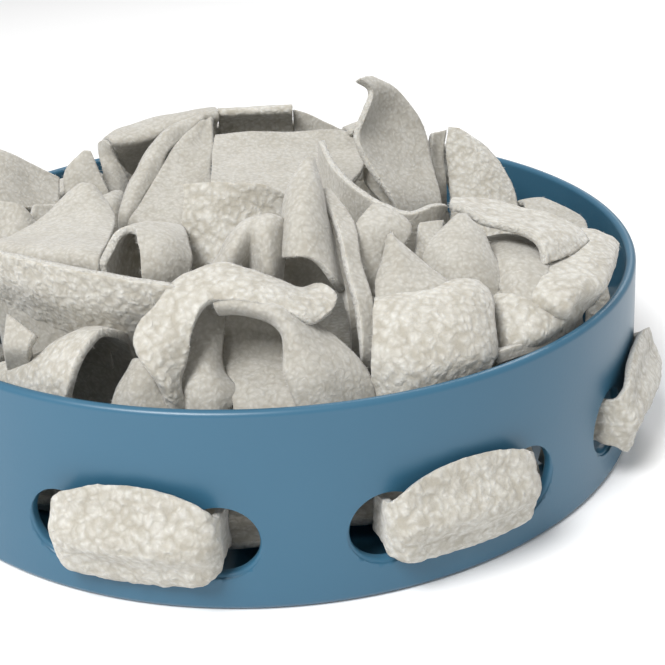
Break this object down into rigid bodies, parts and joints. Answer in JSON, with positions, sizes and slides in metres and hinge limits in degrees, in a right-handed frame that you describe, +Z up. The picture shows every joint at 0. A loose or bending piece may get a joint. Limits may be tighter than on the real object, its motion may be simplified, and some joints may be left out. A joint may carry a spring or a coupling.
{
  "type": "snuffle bowl",
  "caption": "Low round plastic bowl with round holes through its wall, fleece loops threaded from hole to hole and a heap of folded fleece strips inside.",
  "frame": {"origin": "centre of the bowl's flat underside", "axes": "+Z up, -Y towards the bowl's front as pictured"},
  "size_m": [0.3058, 0.3039, 0.1225],
  "materials": {
    "plastic": "satin blue",
    "fleece": "off-white fleece, curly on one side and smooth on the other"
  },
  "bodies": {
    "root": {"bowl_floor": "plastic", "bowl_wall": "plastic", "loop_1": "fleece", "loop_2": "fleece", "loop_3": "fleece", "loop_4": "fleece", "loop_5": "fleece", "loop_6": "fleece", "loop_7": "fleece", "loop_8": "fleece", "loop_9": "fleece", "strip_front_left_arch": "fleece", "strip_front_twist": "fleece", "strip_front_corner": "fleece", "strip_front_roll": "fleece", "strip_front_inner": "fleece", "strip_front_shaded": "fleece", "strip_front_square": "fleece", "strip_front_peak": "fleece", "strip_left_band": "fleece", "strip_left_tab": "fleece", "strip_left_leaf": "fleece", "strip_left_tunnel": "fleece", "strip_left_curl": "fleece", "strip_left_peak": "fleece", "strip_left_side": "fleece", "strip_left_tuck": "fleece", "strip_left_edge": "fleece", "strip_back_arch": "fleece", "strip_back_ridge": "fleece", "strip_back_slope": "fleece", "strip_back_panel": "fleece", "strip_back_roll": "fleece", "strip_back_corner": "fleece", "strip_tall_curl": "fleece", "strip_right_leaf": "fleece", "strip_right_fold": "fleece", "strip_middle_slant": "fleece", "strip_middle_wave": "fleece", "strip_middle_spike": "fleece", "strip_middle_spine": "fleece", "strip_middle_crease": "fleece", "strip_middle_panel": "fleece", "strip_middle_bend": "fleece", "strip_middle_point": "fleece", "strip_middle_low": "fleece", "strip_right_peak": "fleece", "strip_right_roof": "fleece", "strip_right_back": "fleece", "strip_right_panel": "fleece", "strip_right_pad": "fleece", "strip_right_rim": "fleece", "strip_right_low": "fleece", "strip_rear_1": "fleece", "strip_rear_2": "fleece", "strip_rear_3": "fleece", "strip_rear_4": "fleece", "strip_side_1": "fleece", "strip_side_2": "fleece", "strip_crest": "fleece"}
  },
  "joints": []
}
